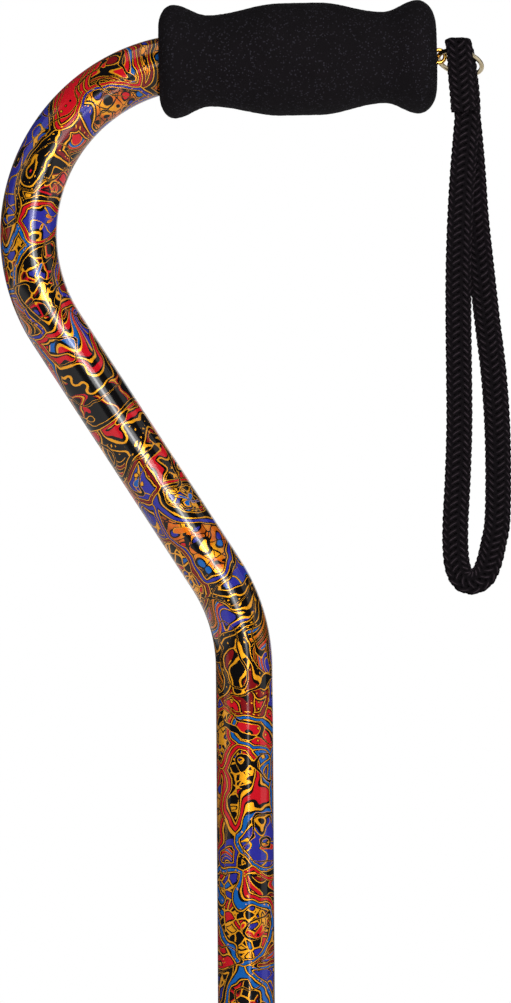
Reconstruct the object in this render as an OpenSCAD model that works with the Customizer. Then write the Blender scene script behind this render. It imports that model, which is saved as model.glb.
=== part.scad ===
/* [Handle] */
// Height of the shaft straight's upper end above the floor, at the middle height setting
neck_z = 601; // [590:1:620]
// Outside diameter of the upper tube
upper_od = 22.2; // [22:0.1:22.4]
// Centreline radius of both bends in the handle
bend_r = 67.4; // [60:0.1:72]
// Furthest reach of the centreline in front of the shaft
reach = 82.8; // [78:0.1:88]
// Slope of the straight between the bends, measured from vertical
slope = 32.7; // [30:0.1:36]
// Rise of the grip towards its open end
grip_rise = 0.8; // [0:0.1:2]

/* [Grip] */
// Length of the foam grip
grip_len = 108; // [100:1:116]
// Distance from the shaft to the open end of the grip
grip_end_x = 76.3; // [72:0.1:80]
// Radius of the flares at both ends
flare_r = 22.1; // [21:0.1:24]
// Radius of the necks beside the flares
neck_r = 17.8; // [17:0.1:19]
// Radius of the belly in the middle
belly_r = 21.9; // [20:0.1:23]

/* [Height adjustment] */
// Outside diameter of the lower tube
lower_od = 19.05; // [19:0.01:19.1]
// Distance between adjusting holes
hole_pitch = 25.4; // [25:0.1:26]
// Number of adjusting holes
hole_count = 7; // [5:2:7]
// Height of the snap button above the floor
button_z = 365; // [360:1:370]
// Height of the upper tube's lower end at the middle setting
tube_end_z = 250; // [248:1:252]

/* [Base] */
// Distance from the shaft to each foot, along the walking direction
foot_x = 87.6; // [80:0.1:95]
// Distance from the shaft to the feet on the user's side
foot_in = 52; // [50:1:58]
// Distance from the shaft to the feet on the outer side
foot_out = 72; // [66:1:90]
// Outside diameter of the leg tubes
leg_od = 15.88; // [15.8:0.01:16]
// Height of the leg tubes' centreline above the floor
leg_z = 74; // [70:1:80]

/* [Strap] */
// Width of the flat braid
strap_w = 10; // [9:0.5:11]
// Thickness of the flat braid
strap_t = 3.2; // [2.8:0.1:3.4]

/* [Hidden] */
$fn = 64;
eps = 0.02;

// The feet are centred on the origin, so the shaft stands a little to the user's side (-Y).
shaft_y = (foot_in - foot_out) / 2;

// Tubes
upper_ro = upper_od / 2;
upper_ri = 9.55;
lower_ro = lower_od / 2;
lower_ri = 8.3;
leg_ro = leg_od / 2;
leg_ri = 6.7;
// Pieces of one bent tube run this far into each other, and the straights' walls lie this far
// inside the bends'
lap = 0.5;
step = 0.05;
adjust_hole_r = 3.3;
button_hole_r = 3.25;
button_r = 3.2;
stem_hole_r = 3.1;

// Handle centreline, from the shaft up
slant_len = (reach - 2 * bend_r * (1 - cos(slope))) / sin(slope);
over_turn = slope + 90 - grip_rise;
bow_x = bend_r - reach;
bow_z = neck_z + 2 * bend_r * sin(slope) + slant_len * cos(slope);
grip_start_x = bow_x - bend_r * sin(grip_rise);
grip_start_z = bow_z + bend_r * cos(grip_rise);
recess_depth = 4;
recess_r = 4.6;
tube_tip_x = grip_end_x - recess_depth;
grip_tube_len = (tube_tip_x - grip_start_x) / cos(grip_rise);

// Foam grip: radius at points along its length, joined by smooth ease curves
GRIP_KEYS = [
    [5.8, flare_r], [19.5, neck_r], [47.8, belly_r], [61.9, belly_r],
    [87.5, neck_r], [100.8, flare_r],
];
grip_face_r = [13.6, 12];
foam_stretch = 0.15;

// Eye, ring and the fold of the strap on it
eye_x = 77.2;
eye_r = 2.45;
eye_wire = 0.8;
eye_z = grip_start_z + (eye_x - grip_start_x) * tan(grip_rise);
ring_r = 8.65;
ring_wire = 0.9;
ring_dip = 16;
ring_tilt = 25;

// Ferrule, collet and lock nut
ferrule_r = 13;
thread_r = 13.5;
thread_pitch = 2;
nut_r = 16.6;
collet_r = 12.3;

// Hub
hub_half = [32, 15];
hub_top = 96;
socket_top = 136;
socket_r = 13.6;
tube_seat_z = hub_top - 4;
stem_z = 118;
half_gap = 0.4;
channel_r = leg_ro + 0.05;
tube_x = 12;
plate_z = 61.5;
bolt_xy = [26, 8];
bolt_r = 2.5;

// Feet
leg_bend_r = 30;
tip_h = 40;
tip_r = 14;
tip_neck_r = 10.6;
washer_z = 7;
washer_t = 1.2;
leg_end_z = washer_z + washer_t;
// Sides of the feet: front or rear, then user's side or outer side
FEET = [[-1, -1], [-1, 1], [1, -1], [1, 1]];

// Strap route: [x, y, z, turn], with x from the shaft, y and z from the wire in the fold, and
// turn the angle of the flat side's width from the X axis. It runs from the free end of the
// fold, up the front, over the ring, down one band, round the bottom and up the other band.
STRAP_ROUTE = [
    [86.5, -4.2, -23, 0], [86, -4.3, -16, 0], [85.4, -4.3, -9, 0], [85.1, -4.2, -3, 0],
    [84.7, -3.6, 2.2, 0], [84.5, -2.2, 3.7, 0], [84.5, 0, 4.2, 0], [84.6, 2.2, 3.7, 0],
    [85.1, 3.6, 2.2, 0], [86.5, 4, -3, 0], [87.1, 2.7, -9, 0], [87.8, 1, -16, 0],
    [88, 0, -24, 2], [87.2, -0.4, -34, 2], [86.1, -1, -46, 2], [84.9, -1.6, -64, 2],
    [84.1, -2, -84, 0], [83.9, -2, -104, 0], [84, -2, -124, 0], [84, -2, -144, 0],
    [83.3, -1.8, -164, -1], [82.3, -1.4, -182, 0], [82.2, -1, -192, 4], [83, -0.5, -199.5, 20],
    [85.2, 0, -204.2, 50], [88.8, 0, -205.4, 90], [92.6, 0, -203.4, 130],
    [95.1, 0.5, -198.5, 154], [97, 1, -191, 164], [98.6, 1.4, -182, 171], [99.1, 1.8, -164, 180],
    [98.8, 2.2, -144, 183], [97.5, 2.3, -124, 186], [95.2, 2.4, -104, 186], [93.1, 2.6, -84, 186],
    [91.1, 2.8, -64, 185], [90, 3.6, -46, 185], [89.1, 4.4, -34, 184], [88.2, 5.2, -24, 183],
    [87.8, 6.4, -18, 181], [87.6, 7.2, -14, 180],
];
STRAP_SIDES = 12;
// Middle of the ring's front arc, moved back by part of its bow: the strap turns about this
ring_bow = 0.8;
strap_y = shaft_y - (ring_r - ring_bow) * cos(ring_tilt);
strap_z = eye_z - ring_r * sin(ring_dip) + ring_r * sin(ring_tilt) * cos(ring_dip);

// ---- Helpers ----

// Ring-shaped section of a tube, or a full disc where it has no inner radius
module tube_section(ro, ri) {
    difference() {
        circle(r = ro);
        if (ri > 0)
            circle(r = ri);
    }
}

// Straight tube along +X. Its ends run a little way into the bends that it joins, and its walls
// lie just inside theirs.
module run(len, ro, ri, before = lap, after = lap) {
    translate([-before, 0, 0])
        rotate([0, 90, 0])
            linear_extrude(before + len + after)
                tube_section(ro - step, ri > 0 ? ri + step : 0);
}

// Tube bend that starts along +X and turns towards +Y
module bend(r, angle, ro, ri) {
    translate([0, r, 0])
        rotate([0, 0, -90])
            rotate_extrude(angle = angle, $fn = 180)
                translate([r, 0])
                    tube_section(ro, ri);
}

module after_run(len) {
    translate([len, 0, 0])
        children();
}

module after_bend(r, angle) {
    translate([r * sin(angle), r * (1 - cos(angle)), 0])
        rotate([0, 0, angle])
            children();
}

module at_shaft(z = 0) {
    translate([0, shaft_y, z])
        children();
}

module disc_ring(z0, z1, ro, ri) {
    translate([0, 0, z0])
        linear_extrude(z1 - z0)
            tube_section(ro, ri);
}

// Cylinder along Y, centred
module cross_pin(r, len) {
    rotate([90, 0, 0])
        cylinder(r = r, h = len, center = true);
}

// Frame along the grip's axis: +X towards its open end, origin on the axis at the closed end
module along_grip() {
    translate([grip_end_x, shaft_y, grip_start_z + (grip_end_x - grip_start_x) * tan(grip_rise)])
        rotate([0, -grip_rise, 0])
            translate([-grip_len, 0, 0])
                children();
}

// Smooth step from 0 to 1
function ease(t) = (1 - cos(180 * t)) / 2;

function unit(v) = v / norm(v);

// ---- Handle ----

// The bent tube's body, for its own walls and for the grip's bore
module handle_path(ro, ri) {
    straight = neck_z - tube_end_z;
    translate([0, shaft_y, tube_end_z])
        rotate([0, -90, 0])
            rotate([90, 0, 0]) {
                run(straight, ro, ri, before = 0);
                after_run(straight) {
                    bend(bend_r, slope, ro, ri);
                    after_bend(bend_r, slope) {
                        run(slant_len, ro, ri);
                        after_run(slant_len)
                            rotate([180, 0, 0]) {
                                bend(bend_r, over_turn, ro, ri);
                                after_bend(bend_r, over_turn)
                                    run(grip_tube_len, ro, ri, after = 0);
                            }
                    }
                }
            }
}

module handle_tube() {
    color("darkgoldenrod")
        difference() {
            handle_path(upper_ro, upper_ri);
            for (i = [0 : hole_count - 1])
                at_shaft(button_z + (i - (hole_count - 1) / 2) * hole_pitch)
                    cross_pin(adjust_hole_r, 2 * upper_ro + 2);
        }
}

function grip_profile() = concat(
    [for (a = [0 : 15 : 90])
        [GRIP_KEYS[0][0] * (1 - cos(a)), grip_face_r[0] + (flare_r - grip_face_r[0]) * sin(a)]],
    [for (i = [0 : len(GRIP_KEYS) - 2], t = [0.125 : 0.125 : 1])
        let (a = GRIP_KEYS[i], b = GRIP_KEYS[i + 1])
        [a[0] + (b[0] - a[0]) * t, a[1] + (b[1] - a[1]) * ease(t)]],
    [for (a = [75 : -15 : 0])
        let (last = GRIP_KEYS[len(GRIP_KEYS) - 1][0])
        [grip_len - (grip_len - last) * (1 - cos(a)),
            grip_face_r[1] + (flare_r - grip_face_r[1]) * sin(a)]]
);

module foam_grip() {
    color([0.05, 0.05, 0.06])
        difference() {
            along_grip()
                rotate([0, 90, 0])
                    rotate_extrude($fn = 96)
                        polygon(concat([[0, 0]], [for (p = grip_profile()) [p[1], p[0]]], [[0, grip_len]]));
            handle_path(upper_ro - foam_stretch, 0);
            along_grip()
                translate([grip_len - recess_depth - 1, 0, 0])
                    rotate([0, 90, 0])
                        cylinder(r = recess_r, h = recess_depth + 2);
        }
}

module grip_end_plug() {
    plug_len = 16;
    color("dimgray")
        along_grip()
            translate([grip_len - recess_depth - plug_len, 0, 0])
                rotate([0, 90, 0])
                    difference() {
                        cylinder(r = upper_ri + 0.05, h = plug_len);
                        translate([0, 0, plug_len - 12])
                            cylinder(r = 1.5, h = 12 + eps);
                    }
}

module eye_screw() {
    shank = 12;
    color("gold")
        translate([eye_x, shaft_y, eye_z]) {
            rotate([90, 0, 0])
                rotate_extrude()
                    translate([eye_r, 0])
                        circle(r = eye_wire);
            rotate([0, -grip_rise, 0])
                translate([-eye_r - shank, 0, 0])
                    rotate([0, 90, 0])
                        cylinder(r1 = 1.1, r2 = 1.55, h = shank);
        }
}

// Places the ring: its wire passes through the eye, its plane dips away and tilts to the front
module ring_place() {
    translate([eye_x, shaft_y, eye_z])
        rotate([0, ring_dip, 0])
            rotate([-ring_tilt, 0, 0])
                translate([ring_r, 0, 0])
                    children();
}

module strap_ring() {
    color("gold")
        ring_place()
            rotate_extrude()
                translate([ring_r, 0])
                    circle(r = ring_wire);
}

function strap_point(i) = STRAP_ROUTE[i] + [0, strap_y, strap_z, 0];
function xyz(p) = [p[0], p[1], p[2]];
function strap_tangent(i) =
    let (n = len(STRAP_ROUTE) - 1)
    unit(xyz(strap_point(min(i + 1, n))) - xyz(strap_point(max(i - 1, 0))));

function strap_ring_points(i) =
    let (
        p = strap_point(i),
        t = strap_tangent(i),
        across = [cos(p[3]), 0, sin(p[3])],
        wide = unit(across - (across * t) * t),
        thick = cross(t, wide)
    )
    [for (k = [0 : STRAP_SIDES - 1])
        let (a = 360 * k / STRAP_SIDES)
        xyz(p) + wide * cos(a) * strap_w / 2 + thick * sin(a) * strap_t / 2];

module wrist_strap() {
    n = len(STRAP_ROUTE);
    s = STRAP_SIDES;
    points = [for (i = [0 : n - 1]) each strap_ring_points(i)];
    sides = [for (i = [0 : n - 2], k = [0 : s - 1])
        [i * s + k, (i + 1) * s + k, (i + 1) * s + (k + 1) % s, i * s + (k + 1) % s]];
    ends = [[for (k = [0 : s - 1]) k], [for (k = [s - 1 : -1 : 0]) (n - 1) * s + k]];
    color([0.08, 0.07, 0.09])
        polyhedron(points, concat(sides, ends));
}

// ---- Height lock ----

module threaded_ferrule() {
    color([0.1, 0.1, 0.1])
        at_shaft()
            difference() {
                union() {
                    translate([0, 0, tube_end_z + 8])
                        cylinder(r = ferrule_r + 1.4, h = 12);
                    translate([0, 0, tube_end_z - 13])
                        cylinder(r = ferrule_r - 0.4, h = 22);
                    for (i = [0 : 7])
                        translate([0, 0, tube_end_z - 12 + i * thread_pitch])
                            cylinder(r = thread_r - 0.4, h = thread_pitch / 2);
                }
                translate([0, 0, tube_end_z])
                    cylinder(r = upper_ro, h = 30);
                translate([0, 0, tube_end_z - 14])
                    cylinder(r = upper_ri, h = 15);
            }
}

module collet_ring() {
    z1 = tube_end_z - 13.3;
    color("ivory")
        at_shaft()
            difference() {
                translate([0, 0, z1 - 9])
                    rotate_extrude()
                        polygon([
                            [upper_ri, 0], [collet_r - 1.2, 0], [collet_r, 3],
                            [collet_r, 9], [upper_ri, 9],
                        ]);
                translate([0, -0.8, z1 - 10])
                    cube([collet_r + 2, 1.6, 11]);
            }
}

module lock_nut() {
    top = tube_end_z + 7;
    bottom = tube_end_z - 27;
    flutes = 24;
    color([0.1, 0.1, 0.1])
        at_shaft()
            difference() {
                translate([0, 0, bottom])
                    rotate_extrude()
                        polygon([
                            [0, 0], [nut_r - 3.2, 0], [nut_r - 2, 1.2], [nut_r - 1.2, 8], [nut_r, 10],
                            [nut_r, top - bottom - 1.2], [nut_r - 1.2, top - bottom], [0, top - bottom],
                        ]);
                // bore over the thread, seat of the collet and hole for the lower tube
                translate([0, 0, tube_end_z - 13.1])
                    cylinder(r = thread_r, h = 30);
                translate([0, 0, tube_end_z - 22.6])
                    rotate_extrude()
                        polygon([
                            [0, 0], [collet_r - 0.9, 0], [collet_r + 0.3, 3], [collet_r + 0.3, 10], [0, 10],
                        ]);
                translate([0, 0, bottom - 1])
                    cylinder(r = lower_ro + 0.35, h = 8);
                for (i = [0 : flutes - 1])
                    rotate([0, 0, i * 360 / flutes])
                        translate([nut_r + 0.5, 0, bottom + 12])
                            cylinder(r = 1.3, h = 30);
            }
}

// ---- Lower tube and button ----

module lower_tube() {
    top = button_z + 100;
    color("silver")
        difference() {
            at_shaft()
                disc_ring(tube_seat_z, top, lower_ro, lower_ri);
            at_shaft(button_z)
                translate([0, -lower_ro, 0])
                    cross_pin(button_hole_r, 8);
            at_shaft(stem_z)
                cross_pin(stem_hole_r, 2 * lower_ro + 2);
        }
}

module snap_button() {
    color("silver")
        at_shaft(button_z)
            rotate([90, 0, 0]) {
                translate([0, 0, 5.9])
                    cylinder(r = 4.2, h = 0.9);
                rotate_extrude()
                    polygon([
                        [0, 6], [button_r, 6], [button_r, 11.9], [2.9, 12.4], [2.2, 12.8], [1.2, 13], [0, 13.05],
                    ]);
            }
}

// Hairpin leaf spring: two flat legs joined by a round bend at the bottom
module snap_spring() {
    strip = 6;
    thick = 0.7;
    front = 5.85;
    rear = 7.4;
    bend_at = button_z - 34;
    middle = (rear - front) / 2;
    outer = (rear + front) / 2;
    color("lightsteelblue")
        at_shaft()
            translate([-strip / 2, 0, 0])
                rotate([90, 0, 90])
                    linear_extrude(strip) {
                        translate([-front, bend_at])
                            square([thick, 40]);
                        translate([rear - thick, bend_at])
                            square([thick, 34]);
                        translate([middle, bend_at])
                            difference() {
                                circle(r = outer);
                                circle(r = outer - thick);
                                translate([-outer - 1, 0])
                                    square([2 * outer + 2, outer + 1]);
                            }
                    }
}

// ---- Base ----

module rounded_plate(half, r, h) {
    linear_extrude(h)
        union() {
            square([2 * half[0] - 2 * r, 2 * half[1]], center = true);
            square([2 * half[0], 2 * half[1] - 2 * r], center = true);
            for (sx = [-1, 1], sy = [-1, 1])
                translate([sx * (half[0] - r), sy * (half[1] - r)])
                    circle(r = r);
        }
}

module at_bolts() {
    for (sx = [-1, 1], sy = [-1, 1])
        translate([sx * bolt_xy[0], shaft_y + sy * bolt_xy[1], 0])
            children();
}

module leg_channels() {
    for (sx = [-1, 1])
        at_shaft(leg_z)
            translate([sx * tube_x, 0, 0])
                cross_pin(channel_r, 60);
}

module hub_socket() {
    color("dimgray")
        difference() {
            at_shaft() {
                translate([0, 0, leg_z + half_gap])
                    rounded_plate(hub_half, 5, hub_top - leg_z - half_gap);
                translate([0, 0, hub_top - 1])
                    rotate_extrude()
                        polygon([
                            [0, 0], [socket_r + 1.4, 0], [socket_r + 1.4, 1], [socket_r + 0.4, 1.8],
                            [socket_r, 3.4], [socket_r, socket_top - hub_top],
                            [socket_r - 1, socket_top - hub_top + 1], [0, socket_top - hub_top + 1],
                        ]);
                translate([0, 0, stem_z])
                    cross_pin(7, 2 * socket_r + 3);
            }
            at_shaft(tube_seat_z)
                cylinder(r = upper_ri, h = socket_top);
            at_shaft(stem_z)
                cross_pin(stem_hole_r, 60);
            leg_channels();
            at_bolts()
                cylinder(r = bolt_r + 0.1, h = 200);
        }
}

module hub_clamp_plate() {
    color("dimgray")
        difference() {
            at_shaft(plate_z)
                rounded_plate(hub_half, 5, leg_z - half_gap - plate_z);
            leg_channels();
            at_bolts()
                cylinder(r = bolt_r + 0.1, h = 200);
        }
}

// Button-head bolt pointing down, head above z = 0
module button_bolt(r, len, head_r, head_h) {
    difference() {
        union() {
            translate([0, 0, -len])
                cylinder(r = r, h = len + head_h / 2);
            rotate_extrude()
                polygon(concat(
                    [[0, 0]],
                    [for (a = [0 : 15 : 75]) [head_r * cos(a), head_h * sin(a)]],
                    [[0, head_h]]
                ));
        }
        translate([0, 0, head_h * 0.4])
            cylinder(r = r * 0.65, h = head_h, $fn = 6);
    }
}

module hex_nut(r, across_r, h) {
    difference() {
        cylinder(r = across_r, h = h, $fn = 6);
        translate([0, 0, -1])
            cylinder(r = r, h = h + 2);
    }
}

module hub_bolts() {
    color("silver")
        at_bolts()
            translate([0, 0, hub_top])
                button_bolt(bolt_r, hub_top - plate_z + 6.5, 4.75, 2.75);
}

module hub_nuts() {
    color("silver")
        at_bolts()
            translate([0, 0, plate_z - 4.4])
                hex_nut(bolt_r + 0.02, 4.62, 4.4);
}

module stem_bolt() {
    boss = socket_r + 1.5;
    color("silver")
        at_shaft(stem_z)
            rotate([90, 0, 0])
                translate([0, 0, boss])
                    button_bolt(3, 2 * boss + 7, 5.25, 3.3);
}

module stem_nut() {
    boss = socket_r + 1.5;
    color("silver")
        at_shaft(stem_z)
            rotate([-90, 0, 0])
                translate([0, 0, boss])
                    hex_nut(3.02, 5.77, 5);
}

// One arm of a leg tube, from the end of its middle straight: bend in plan towards side,
// level straight, bend down and foot
module leg_arm(side, foot_y) {
    to_centre = [foot_x - tube_x - leg_bend_r, foot_y - hub_half[1]];
    arm = sqrt(to_centre * to_centre - leg_bend_r * leg_bend_r);
    turn = atan2(to_centre[0], to_centre[1]) + atan2(leg_bend_r, arm);
    level = arm - leg_bend_r;
    drop = leg_z - leg_bend_r - leg_end_z;
    translate([0, hub_half[1], 0])
        rotate([0, 0, 90])
            rotate([side > 0 ? 180 : 0, 0, 0]) {
                bend(leg_bend_r, turn, leg_ro, leg_ri);
                after_bend(leg_bend_r, turn) {
                    run(level, leg_ro, leg_ri);
                    after_run(level)
                        rotate([side > 0 ? 90 : -90, 0, 0]) {
                            bend(leg_bend_r, 90, leg_ro, leg_ri);
                            after_bend(leg_bend_r, 90)
                                run(drop, leg_ro, leg_ri, after = 0);
                        }
                }
            }
}

// Leg tube with its feet towards side (-1 front, 1 rear)
module leg_tube(side) {
    at_shaft(leg_z)
        translate([side * tube_x, 0, 0]) {
            translate([0, -hub_half[1], 0])
                rotate([0, 0, 90])
                    run(2 * hub_half[1], leg_ro, leg_ri);
            leg_arm(side, foot_out);
            mirror([0, 1, 0])
                leg_arm(side, foot_in);
        }
}

module leg_front() {
    color([0.12, 0.12, 0.13])
        leg_tube(-1);
}

module leg_rear() {
    color([0.12, 0.12, 0.13])
        leg_tube(1);
}

module at_foot(i) {
    f = FEET[i];
    translate([f[0] * foot_x, shaft_y + (f[1] < 0 ? -foot_in : foot_out), 0])
        children();
}

// Ribbed rubber tip with a deep socket for the leg and grooves in its sole
module tip() {
    color([0.06, 0.06, 0.06])
        difference() {
            rotate_extrude()
                polygon([
                    [0, 0], [tip_r - 0.8, 0], [tip_r, 0.8], [tip_r, 5], [tip_r - 1.2, 6.4],
                    [tip_neck_r + 1.2, 13], [tip_neck_r + 0.6, 15], [tip_neck_r + 0.6, 19],
                    [tip_neck_r, 19.5], [tip_neck_r, 21.5], [tip_neck_r + 0.6, 22],
                    [tip_neck_r + 0.6, 26], [tip_neck_r, 26.5], [tip_neck_r, 28.5],
                    [tip_neck_r + 0.6, 29], [tip_neck_r + 0.6, tip_h - 4], [tip_neck_r, tip_h - 3.2],
                    [tip_neck_r, tip_h - 0.6], [tip_neck_r - 0.6, tip_h], [0, tip_h],
                ]);
            translate([0, 0, washer_z])
                cylinder(r = leg_ro - 0.1, h = tip_h);
            for (r = [6, 10])
                disc_ring(-1, 1.5, r + 1, r);
        }
}

module tip_front_inner() at_foot(0) tip();
module tip_front_outer() at_foot(1) tip();
module tip_rear_inner() at_foot(2) tip();
module tip_rear_outer() at_foot(3) tip();

module tip_washers() {
    color("silver")
        for (i = [0 : 3])
            at_foot(i)
                translate([0, 0, washer_z])
                    cylinder(r = leg_ro - 0.2, h = washer_t);
}

handle_tube();
foam_grip();
grip_end_plug();
eye_screw();
strap_ring();
wrist_strap();
threaded_ferrule();
collet_ring();
lock_nut();
lower_tube();
snap_button();
snap_spring();
hub_socket();
hub_clamp_plate();
hub_bolts();
hub_nuts();
stem_bolt();
stem_nut();
leg_front();
leg_rear();
tip_front_inner();
tip_front_outer();
tip_rear_inner();
tip_rear_outer();
tip_washers();
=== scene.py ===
"""Looks of the quad walking cane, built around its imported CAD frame. Lengths are in metres."""

import math

import bmesh
import bpy
import numpy as np
from mathutils import Matrix, Vector


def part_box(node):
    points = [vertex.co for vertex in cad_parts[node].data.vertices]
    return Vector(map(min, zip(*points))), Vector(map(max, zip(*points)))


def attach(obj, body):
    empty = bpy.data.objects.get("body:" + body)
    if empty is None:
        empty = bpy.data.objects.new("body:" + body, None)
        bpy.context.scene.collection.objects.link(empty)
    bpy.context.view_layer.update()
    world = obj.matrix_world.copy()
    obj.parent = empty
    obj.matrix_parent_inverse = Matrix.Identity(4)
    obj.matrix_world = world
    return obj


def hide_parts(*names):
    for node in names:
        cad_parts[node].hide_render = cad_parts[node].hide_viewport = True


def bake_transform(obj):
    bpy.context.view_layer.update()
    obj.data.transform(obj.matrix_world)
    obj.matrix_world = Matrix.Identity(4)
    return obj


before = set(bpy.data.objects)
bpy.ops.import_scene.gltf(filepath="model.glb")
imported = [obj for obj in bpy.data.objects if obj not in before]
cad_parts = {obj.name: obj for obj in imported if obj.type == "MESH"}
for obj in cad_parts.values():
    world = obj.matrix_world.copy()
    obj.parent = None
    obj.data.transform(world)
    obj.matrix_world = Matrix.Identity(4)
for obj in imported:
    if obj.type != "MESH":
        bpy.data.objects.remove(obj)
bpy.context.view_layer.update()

MM = 0.001

# Places that the CAD frame gives
low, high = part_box("handle_tube")
TUBE_R = (high.y - low.y) / 2
SHAFT_Y = (high.y + low.y) / 2
TUBE_END_Z = low.z

# The bent tube's driving dimensions
NECK_Z = 601 * MM
BEND_R = 67.4 * MM
REACH = 82.8 * MM
SLOPE = math.radians(32.7)
GRIP_RISE = math.radians(0.8)
TUBE_WALL = 1.5 * MM

# Height holes
HOLE_R = 3.3 * MM
HOLE_PITCH = 25.4 * MM
HOLE_COUNT = 7
BUTTON_Z = 365 * MM

# Grip
GRIP_LEN = 108 * MM
GRIP_END_X = 76.3 * MM
FLARE_R = 22.1 * MM
NECK_R = 17.8 * MM
BELLY_R = 21.9 * MM

# Strap
STRAP_W = 10 * MM
STRAP_T = 3.2 * MM


# ---------------------------------------------------------------- meshes

def new_object(name, verts, faces):
    """A smooth-shaded mesh object in the scene."""
    mesh = bpy.data.meshes.new(name)
    mesh.from_pydata([tuple(v) for v in verts], [], [tuple(int(i) for i in f) for f in faces])
    mesh.validate()
    mesh.shade_smooth()
    mesh.update()
    obj = bpy.data.objects.new(name, mesh)
    bpy.context.scene.collection.objects.link(obj)
    return obj


def grid_faces(rows, columns, closed_rows=False, first=0):
    """Quads over rows of vertices, each row a closed ring; first is the number of the first vertex."""
    faces = []
    for i in range(rows if closed_rows else rows - 1):
        for j in range(columns):
            a = first + i * columns + j
            b = first + i * columns + (j + 1) % columns
            c = first + ((i + 1) % rows) * columns + (j + 1) % columns
            d = first + ((i + 1) % rows) * columns + j
            faces.append((a, b, c, d))
    return faces


def lathe(profile, sides, place):
    """Ring-shaped solid about X from a closed loop of (distance, radius) pairs, moved by place."""
    angles = np.linspace(0, 2 * math.pi, sides, endpoint=False)
    verts = [place @ Vector((x, r * math.cos(a), r * math.sin(a))) for x, r in profile for a in angles]
    return verts, grid_faces(len(profile), sides, closed_rows=True)


# ---------------------------------------------------------------- shader graphs

class Graph:
    """A material's node tree, with short calls for the nodes used here."""

    def __init__(self, name):
        self.material = bpy.data.materials.new(name)
        self.material.use_nodes = True
        self.tree = self.material.node_tree
        self.shader = self.tree.nodes["Principled BSDF"]

    def node(self, kind, inputs=None, **settings):
        n = self.tree.nodes.new(kind)
        for key, value in settings.items():
            setattr(n, key, value)
        for key, value in (inputs or {}).items():
            self.feed(n.inputs[key], value)
        return n

    def feed(self, socket, value):
        if isinstance(value, bpy.types.NodeSocket):
            self.tree.links.new(value, socket)
        else:
            socket.default_value = value

    def math(self, operation, *values, clamp=False):
        n = self.node("ShaderNodeMath", operation=operation, use_clamp=clamp)
        for socket, value in zip(n.inputs, values):
            self.feed(socket, value)
        return n.outputs[0]

    def vector(self, operation, *values, scale=None, out=0):
        n = self.node("ShaderNodeVectorMath", operation=operation)
        for socket, value in zip(n.inputs, values):
            self.feed(socket, value)
        if scale is not None:
            self.feed(n.inputs["Scale"], scale)
        return n.outputs[out]

    def mix(self, factor, a, b):
        n = self.node("ShaderNodeMix", data_type="RGBA")
        self.feed(n.inputs[0], factor)
        self.feed(n.inputs[6], a)
        self.feed(n.inputs[7], b)
        return n.outputs[2]

    def below(self, value, limit):
        return self.math("LESS_THAN", value, limit)

    def noise(self, vector, scale, detail=2.0, roughness=0.5, out="Fac"):
        return self.node(
            "ShaderNodeTexNoise",
            {"Vector": vector, "Scale": scale, "Detail": detail, "Roughness": roughness},
        ).outputs[out]

    def voronoi(self, vector, scale, feature="F1", randomness=1.0):
        return self.node(
            "ShaderNodeTexVoronoi",
            {"Vector": vector, "Scale": scale, "Randomness": randomness},
            feature=feature,
        ).outputs

    def ramp(self, value, stops, interpolation="LINEAR"):
        n = self.node("ShaderNodeValToRGB", {"Fac": value})
        ramp = n.color_ramp
        ramp.interpolation = interpolation
        while len(ramp.elements) < len(stops):
            ramp.elements.new(0.5)
        for element, (place, colour) in zip(ramp.elements, stops):
            element.position = place
            element.color = (*colour, 1)
        return n.outputs["Color"]

    def coords(self):
        return self.node("ShaderNodeTexCoord").outputs["Object"]

    def bump(self, height, distance, strength):
        inputs = {"Height": height, "Distance": distance, "Strength": strength}
        return self.node("ShaderNodeBump", inputs).outputs["Normal"]

    def set(self, **values):
        """Sets sockets of the shader, each by its name with underscores for spaces."""
        for key, value in values.items():
            self.feed(self.shader.inputs[key.replace("_", " ")], value)
        return self.material


def srgb(r, g, b):
    """Linear colour of an 8-bit sRGB one."""
    return tuple((c / 255 / 12.92) if c <= 10 else ((c / 255 + 0.055) / 1.055) ** 2.4 for c in (r, g, b))


def rgba(colour):
    return (*colour, 1.0)


# ---------------------------------------------------------------- materials

INK = srgb(7, 5, 6)
RED = srgb(202, 16, 32)
CRIMSON = srgb(126, 10, 16)
ROYAL = srgb(44, 44, 150)
AZURE = srgb(14, 92, 172)
BROWN = srgb(150, 66, 12)
AMBER = srgb(232, 112, 14)
GOLD = srgb(255, 172, 28)


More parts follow.
